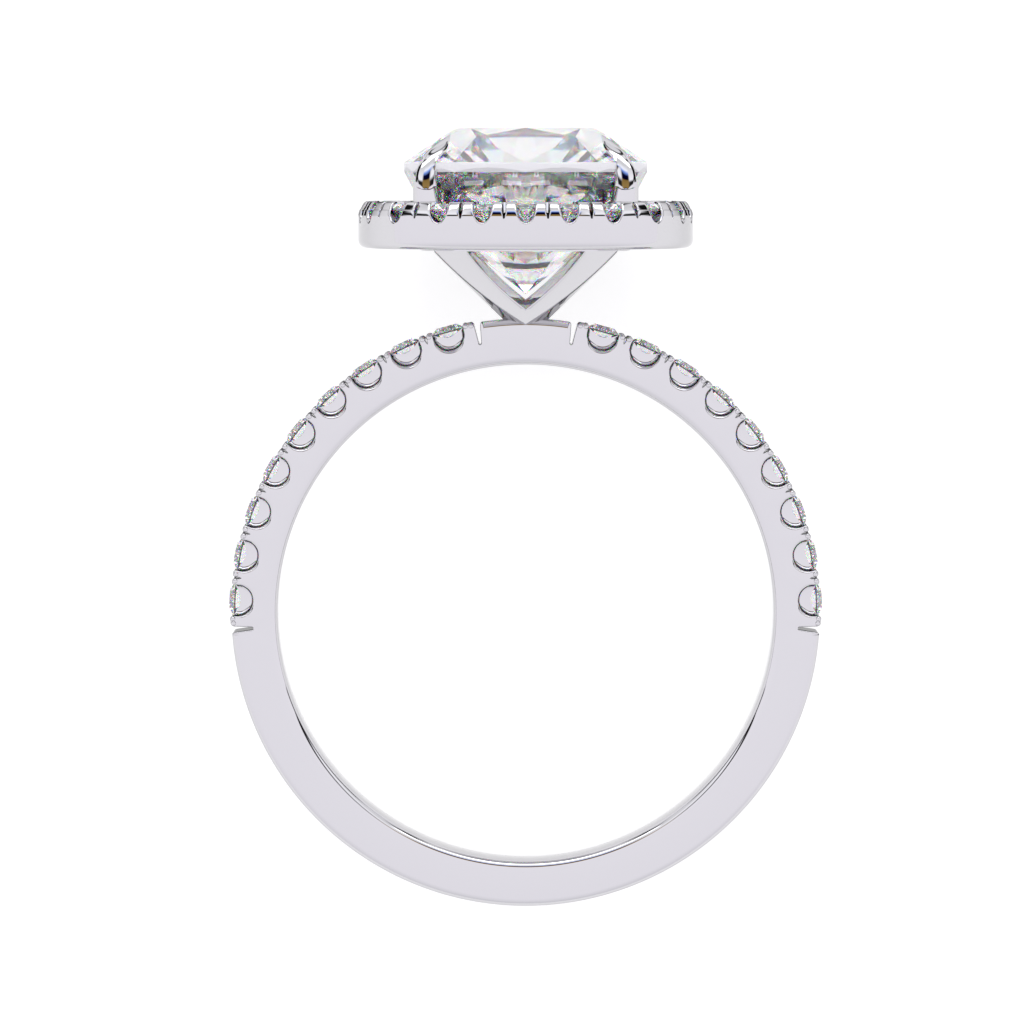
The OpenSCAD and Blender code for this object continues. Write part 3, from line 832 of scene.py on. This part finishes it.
def window_point(turn):
    """A point of a window's edge beside its middle, and the direction into the window."""
    aside, down = sin(turn), cos(turn)
    into = Vector((-aside / HALO_WINDOW_HALF, down / HALO_WINDOW_DROP)).normalized()
    return HALO_WINDOW_HALF * aside, HALO_WINDOW_Z - HALO_WINDOW_DROP * down, into.x, into.y


def window_outside(turn):
    """Where the rim round the window begins."""
    t, z, into_t, into_z = window_point(turn)
    return t - into_t * HALO_RIM, z - into_z * HALO_RIM


def window_turn(height):
    """The turn at which the window's rim begins at a height."""
    low, high = 0, radians(90)
    for _ in range(WINDOW_HALVINGS):
        turn = (low + high) / 2
        if window_outside(turn)[1] < height:
            low = turn
        else:
            high = turn
    return low


# The window's edge in the wall, by turns, and above it beside each level of the skin
last_turn = window_turn(WALL_TOP)
WALL_TURNS = [last_turn * i / HALO_WINDOW_STEPS for i in range(HALO_WINDOW_STEPS + 1)]
WALL_WINDOW = [window_point(turn) for turn in WALL_TURNS]
SKIN_WINDOW = [window_point(window_turn(z)) if z < HALO_WINDOW_Z else (HALO_WINDOW_HALF, z, -1, 0)
               for z, _ in SKIN[1:]]


def skin_inset(z):
    for (z0, d0), (z1, d1) in zip(SKIN, SKIN[1:]):
        if z <= z1:
            return d0 + (d1 - d0) * max(z - z0, 0) / (z1 - z0)
    return SKIN[-1][1]


def lowered(z, inset):
    """Lowers the ridge between an outer and an inner bead."""
    step = smooth_step(abs(inset - HALO_INSET), *HALO_RIDGE_ENDS)
    share = HALO_RIDGE_SHARE + (1 - HALO_RIDGE_SHARE) * step
    return z if z < WALL_TOP else WALL_TOP + (z - WALL_TOP) * share


def clear_halo_seat(t, z, inset, out_t, out_z):
    """Moves a point along its own direction until it's outside the stone's seat."""
    reach = 0
    for _ in range(CLEAR_STEPS):
        r = seat_radius(z + out_z * reach - HALO_STONE_Z)
        if r <= 0 or hypot(t + out_t * reach, inset - HALO_INSET) >= r:
            break
        reach += CLEAR_STEP
    return t + out_t * reach, z + out_z * reach


def notch_half(z, inset):
    """Half the width of the notch between two posts."""
    height = min(max((z - NOTCH_LOW) / NOTCH_RISE, 0), 1)
    return NOTCH_HALF * height * (1 - min(inset / NOTCH_DEPTH, 1)) ** NOTCH_TAPER


class HalfPost:
    """The metal from one stone's middle to the gap beside it, over the halo's whole section."""

    def __init__(self, shell, stone, gap, sign):
        self.shell = shell
        self.stone = stone
        self.gap = gap
        self.sign = sign

    def by_stone(self, t, inset):
        """The outline angle at a way from the stone's middle."""
        return beside(self.stone, self.sign * t, inset)

    def by_gap(self, t, inset):
        """The outline angle at a way from the gap."""
        return beside(self.gap, -self.sign * t, inset)

    def row_between(self, t, gap_t, inset, z):
        """A row from the window's side to the notch's side."""
        a = self.by_stone(t, inset)
        b = self.by_gap(gap_t, inset)
        return [(*outline_point(a + (b - a) * share, inset), z) for share in POST_SHARES]

    def add_window_side(self):
        """The window's wall, from its rim on the outside to the halo's inner wall."""
        columns = []
        for t, z, into_t, into_z in WALL_WINDOW + SKIN_WINDOW:
            column = []
            skin = skin_inset(z - into_z * HALO_RIM)
            for turn in EDGE_TURNS:
                share = 1 - sin(turn)
                inset = skin + HALO_RIM * (1 - cos(turn))
                a = self.by_stone(t - into_t * HALO_RIM * share, inset)
                column.append((*outline_point(a, inset), z - into_z * HALO_RIM * share))
            for inset in WALL_INSETS:
                new_t, new_z = clear_halo_seat(t, lowered(z, inset), inset, -into_t, -into_z)
                column.append((*outline_point(self.by_stone(new_t, inset), inset), new_z))
            columns.append(column)
        self.shell.add_grid(columns)

    def add_bead(self):
        """The bead's face and top, between the window's side and the notch."""
        rows = []
        for z, inset in SKIN:
            if z < HALO_WINDOW_Z:
                t = window_outside(window_turn(z))[0]
            else:
                t = HALO_WINDOW_HALF + HALO_RIM
            rows.append(self.row_between(t, notch_half(z, inset) + NOTCH_RIM, inset, z))
        skin = SKIN[-1][1]
        for turn in EDGE_TURNS[1:]:
            t = HALO_WINDOW_HALF + HALO_RIM * (1 - sin(turn))
            gap_t = notch_half(BEAD_TOP, skin) + NOTCH_RIM * (1 - sin(turn))
            rows.append(self.row_between(t, gap_t, skin + HALO_RIM * (1 - cos(turn)), BEAD_TOP))
        for inset in WALL_INSETS:
            t, z = clear_halo_seat(HALO_WINDOW_HALF, lowered(BEAD_TOP, inset), inset, 1, 0)
            rows.append(self.row_between(t, notch_half(BEAD_TOP, inset), inset, z))
        self.shell.add_grid(rows)

    def add_notch_side(self):
        rows = []
        for z, skin in ((NOTCH_LOW, 0.0), (NOTCH_STEP, 0.0)) + SKIN:
            edge = NOTCH_RIM if z > NOTCH_LOW else 0
            row = []
            for turn in EDGE_TURNS:
                t = notch_half(z, skin) + edge * (1 - sin(turn))
                inset = skin + HALO_RIM * (1 - cos(turn))
                row.append((*outline_point(self.by_gap(t, inset), inset), z))
            for inset in NOTCH_INSETS:
                a = self.by_gap(notch_half(z, inset), inset)
                row.append((*outline_point(a, inset), lowered(z, inset)))
            rows.append(row)
        self.shell.add_grid(rows)

    def add_wall(self):
        """The outer wall from the window and the strip down, the underside and the inner wall."""

        def step(start, end, z):
            return [(start + (end - start) * share, z) for share in POST_SHARES[1:]]

        # The wall's upper end on the outside and on the inside, as outline angles and heights
        upper = [(self.by_stone(t, 0), z) for t, z in map(window_outside, WALL_TURNS)]
        upper += step(upper[-1][0], self.by_gap(notch_half(WALL_TOP, 0) + NOTCH_RIM, 0), WALL_TOP)
        upper.append((self.by_gap(notch_half(NOTCH_STEP, 0) + NOTCH_RIM, 0), NOTCH_STEP))
        upper.append((self.gap, NOTCH_LOW))
        inner = [(self.by_stone(t, INNER_WALL), z) for t, z, _, _ in WALL_WINDOW]
        last_angle, last_z = inner[-1]
        inner += step(last_angle, self.gap, last_z) + [(self.gap, last_z)] * 2

        rows = [[(*outline_point(a, 0), z) for a, z in upper]]
        floor_z = HALO_LOW + HALO_EDGE
        for share in WALL_SHARES:
            rows.append([(*outline_point(a, 0), z + (floor_z - z) * share) for a, z in upper])
        for i in range(1, LOW_EDGE_STEPS + 1):
            turn = radians(90 * i / LOW_EDGE_STEPS)
            inset = HALO_EDGE * (1 - cos(turn))
            z = floor_z - HALO_EDGE * sin(turn)
            rows.append([(*outline_point(a, inset), z) for a, _ in upper])
        for inset, z, share in UNDERSIDE:
            rows.append([(*outline_point(a + (b - a) * share, inset), z)
                         for (a, _), (b, _) in zip(upper, inner)])
        rows.append([(*outline_point(b, INNER_WALL), z) for b, z in inner])
        self.shell.add_grid(rows)

    def add_inner_wall(self):
        """The inner wall beside the window."""
        self.shell.add_grid([self.row_between(t, 0, INNER_WALL, lowered(z, INNER_WALL))
                             for t, z, _, _ in WALL_WINDOW[-1:] + SKIN_WINDOW])

    def add(self):
        self.shell.is_small = lambda p: True
        self.add_window_side()
        self.add_bead()
        self.add_notch_side()
        self.shell.is_small = lambda p: False
        self.add_wall()
        self.add_inner_wall()


def make_halo(materials):
    shell = Shell()
    step = outline_run(360, HALO_INSET) / HALO_COUNT
    for i in range(HALO_COUNT):
        stone = outline_angle(i * step, HALO_INSET)
        for sign in (-1, 1):
            gap = outline_angle((i + sign / 2) * step, HALO_INSET)
            HalfPost(shell, stone, gap, sign).add()
    return shell.make("halo", materials, HALO_SHARP_ANGLE)


# Basket
LEAN = radians(41)
V_POINT = 9.85
V_ARM = 0.72
V_HALF = 3.1
V_INNER_HALF = 2.0
V_THICK = 0.5
V_EDGE = 0.05
# The bows of the V's outer and inner sides, and the points along them
V_BOW, V_STEPS = 0.15, 24
V_INNER_BOW, V_INNER_STEPS = 0.12, 20
# How far the V's ends reach into the halo
V_RISE = 0.1
# How much farther out the outer side lies at the plate's back, and how much more at the V's point
V_FLARE = 0.52
V_POINT_FLARE = 0.74


def arc(start, end, bow, steps):
    """Points of an arc between two points of a plane, bowed to the right of the way there."""
    a, b = Vector(start), Vector(end)
    chord = (b - a).length
    r = chord * chord / (8 * bow) + bow / 2
    along = (b - a) / chord
    middle = (a + b) / 2 + Vector((-along.y, along.x)) * (r - bow)
    first = a - middle
    turn = 2 * asin(chord / (2 * r))
    return [middle + Matrix.Rotation(turn * i / steps, 2) @ first for i in range(steps + 1)]


def make_plate(materials, name, side):
    """A V-shaped plate; its ends are hidden in the halo and in the band."""
    top = (SHELF_LOW - V_POINT) / cos(LEAN)
    outer = arc((0, 0), (V_HALF, top), V_BOW, V_STEPS)
    inner = arc((0, V_ARM), (V_INNER_HALF, top), V_INNER_BOW, V_INNER_STEPS)
    rise = Vector((0, V_RISE))
    path = outer + [outer[-1] + rise, inner[-1] + rise] + inner[:0:-1] + [inner[0]]
    path += [Vector((-p.x, p.y)) for p in reversed(path[1:-1])]
    count = len(path)

    def flare(p):
        if p in outer or Vector((-p.x, p.y)) in outer:
            return V_FLARE + V_POINT_FLARE * max(1 - p.y / top, 0) ** 3
        return 0

    flares = [flare(p) for p in path]
    inward = []
    for i, here in enumerate(path):
        before, after = path[i - 1], path[(i + 1) % count]
        along = (here - before).normalized() + (after - here).normalized()
        inward.append(Vector((-along.y, along.x)).normalized())

    def place(u, v, depth):
        y = -BAND_HALF - v * sin(LEAN) + depth * cos(LEAN)
        z = V_POINT + v * cos(LEAN) + depth * sin(LEAN)
        return u, -side * y, z

    shell = Shell(lambda p: True)
    rows = []
    loops = []
    for face_depth, sign, turns in ((0, 1, EDGE_TURNS), (V_THICK, -1, EDGE_TURNS[::-1])):
        for turn in turns:
            away = V_EDGE * (1 - sin(turn))
            depth = face_depth + sign * V_EDGE * (1 - cos(turn))
            flat = [p + n * away - Vector((0, flared)) * (depth / V_THICK)
                    for p, n, flared in zip(path, inward, flares)]
            rows.append([place(p.x, p.y, depth) for p in flat])
            if turn == EDGE_TURNS[0]:
                loops.append((flat, depth))
    shell.add_grid(rows, closed=True)
    # Between the two edges lies the plain side
    side_start = (len(EDGE_TURNS) - 1) * count
    shell.kinds[side_start:side_start + count] = [0] * count
    for flat, depth in loops:
        shell.add_fill([flat], lambda u, v, depth=depth: place(u, v, depth))
    return shell.make(name, materials)


# Claws
# A claw's levels: height, its outer and inner side across, and its front
CLAW_LEVELS = ((14.505, 3.45, 3.29, 3.80), (14.51, 3.56, 3.18, 3.797), (14.53, 3.63, 3.11, 3.79),
               (14.565, 3.682, 3.056, 3.782), (14.61, 3.715, 3.022, 3.772), (14.68, 3.733, 3.005, 3.757),
               (14.79, 3.738, 3.0, 3.732), (14.94, 3.722, 2.99, 3.693), (15.1, 3.692, 2.98, 3.642),
               (15.25, 3.64, 2.965, 3.59), (15.4, 3.57, 2.94, 3.525), (15.52, 3.5, 2.9, 3.465),
               (15.66, 3.422, 2.82, 3.385), (15.78, 3.325, 2.74, 3.3), (15.88, 3.223, 2.67, 3.21),
               (15.98, 3.105, 2.62, 3.1), (16.09, 2.973, 2.59, 2.97), (16.17, 2.85, 2.575, 2.85),
               (16.24, 2.726, 2.565, 2.74), (16.3, 2.63, 2.555, 2.64), (16.34, 2.565, 2.55, 2.57))
# The claw's section in half widths: a round middle, a bevel on each side and a round back
CLAW_ROUND = 0.72
ROUND_END = radians(20)
BEVEL_TURNS = (radians(37), radians(43))
CLAW_BACK = 0.5
CLAW_BACK_STEPS = 8
CLAW_ASIDES = (0, 0.12, 0.24, 0.36, 0.48, 0.6, 0.68, 0.72, 0.76, 0.82, 0.88, 0.94, 1)
CLAW_SHARP_ANGLE = 60
STEM_SIDES = 96
STEM_BACK = 3.25
# The stem's height, its middle's distance aside and its radius
STEM_LEVELS = ((12.6, 3.31, 0), (12.6, 3.31, 0.5), (13.9, 3.31, 0.5), (14.2, 3.345, 0.465),
               (14.45, 3.375, 0.435), (14.67, 3.4, 0.41), (14.71, 3.4, 0.4), (14.74, 3.4, 0.38),
               (14.75, 3.4, 0.34), (14.75, 3.4, 0))
STONE_GAP = 0.03
# A facet that leans less than this from the way out doesn't stop a point
LEAST_LEAN = 1e-6


def stone_planes():
    """The centre stone's facets in the upright frame: a point and the outward normal of each."""
    upright = LAY.inverted()
    turn = LAY.to_3x3().normalized().transposed()
    mesh = frame["nodes"]["centre_stone"].data
    return [(upright @ face.center, (turn @ face.normal).normalized()) for face in mesh.polygons]


def clear_stone(p, out, planes):
    """Moves a point outwards until it's clear of the centre stone."""
    way = None
    for middle, normal in planes:
        room = (middle - p).dot(normal) + STONE_GAP
        if room <= 0:
            return p
        if normal.dot(out) > LEAST_LEAN:
            reach = room / normal.dot(out)
            way = reach if way is None else min(way, reach)
    return p + out * way


def claw_section():
    """Points round a claw: aside and back from its front line, in half widths."""

    def back(aside):
        if aside < CLAW_ROUND:
            return tan(ROUND_END) * aside * aside / (2 * CLAW_ROUND)
        start, end = (tan(turn) for turn in BEVEL_TURNS)
        way = aside - CLAW_ROUND
        return (tan(ROUND_END) * CLAW_ROUND / 2 + start * way
                + (end - start) * way * way / (2 * (1 - CLAW_ROUND)))

    half = [(aside, back(aside)) for aside in CLAW_ASIDES]
    for i in range(1, CLAW_BACK_STEPS + 1):
        turn = radians(90 * i / CLAW_BACK_STEPS)
        half.append((cos(turn), back(1) + CLAW_BACK * sin(turn)))
    return half + [(-aside, way) for aside, way in reversed(half[1:-1])]


def make_claw(materials, name, side_x, side_y, planes):
    """A claw, all of the small details' metal, and the round stem under it."""
    out = Vector((side_x, side_y, 0)).normalized()
    shell = Shell()
    rows = []
    section = claw_section()
    for z, outer, inner, front_y in CLAW_LEVELS:
        r = (outer - inner) / 2
        places = [Vector((side_x * (outer - r) + r * aside, side_y * (front_y - r * back), z))
                  for aside, back in section]
        rows.append([clear_stone(p, out, planes) for p in places])
    foot, tip = (sum(row, Vector()) / len(section) for row in (rows[0], rows[-1]))
    rows = [[foot] * len(section)] + rows + [[tip] * len(section)]
    shell.add_grid(rows, closed=True)
    # The whole claw takes the details' metal, with its painted dark shade along the edges
    claw = shell.make(name, materials[1:], CLAW_SHARP_ANGLE)
    shell = Shell()
    rows = []
    for z, aside, r in STEM_LEVELS:
        row = []
        for i in range(STEM_SIDES):
            a = radians(360 * i / STEM_SIDES)
            p = Vector((side_x * aside + r * cos(a), side_y * STEM_BACK + r * sin(a), z))
            row.append(clear_stone(p, out, planes))
        rows.append(row)
    shell.add_grid(rows, closed=True)
    return claw, shell.make(name + "_stem", materials)


make_camera()
metal = make_metal("white_gold", WALL_EDGE_TINT)
# The details' metal has black low-angle reflections: painted dark shade along the edges of the small
# details
metal_painted_edge_shade = make_metal("white_gold_details_painted_edge_shade", DETAIL_PAINTED_EDGE_SHADE)
metals = (metal, metal_painted_edge_shade)
centre_diamond = make_diamond("centre_diamond", CENTRE_IOR, CENTRE_SHARES, mask_centre_girdle,
                              CENTRE_GIRDLE_COLOUR)
small_diamond = make_diamond("small_diamond", SMALL_IOR, SMALL_SHARES, mask_band_girdles,
                             BAND_GIRDLE_PAINTED_SHADE)
for name, obj in frame["nodes"].items():
    material = {"band_and_setting": metal, "centre_stone": centre_diamond}.get(name, small_diamond)
    obj.data.materials.clear()
    obj.data.materials.append(material)
make_band(metals)
make_knobs(metals)
make_halo(metals)
make_plate(metals, "front_plate", -1)
make_plate(metals, "back_plate", 1)
planes = stone_planes()
for side_name, side_x in (("left", -1), ("right", 1)):
    for end_name, side_y in (("front", -1), ("back", 1)):
        make_claw(metals, f"claw_{end_name}_{side_name}", side_x, side_y, planes)
make_floor()
make_world()
make_key_light()
cycles = bpy.context.scene.cycles
cycles.max_bounces = BOUNCES
cycles.glossy_bounces = BOUNCES
cycles.transmission_bounces = BOUNCES
bpy.context.scene.view_settings.view_transform = "Standard"
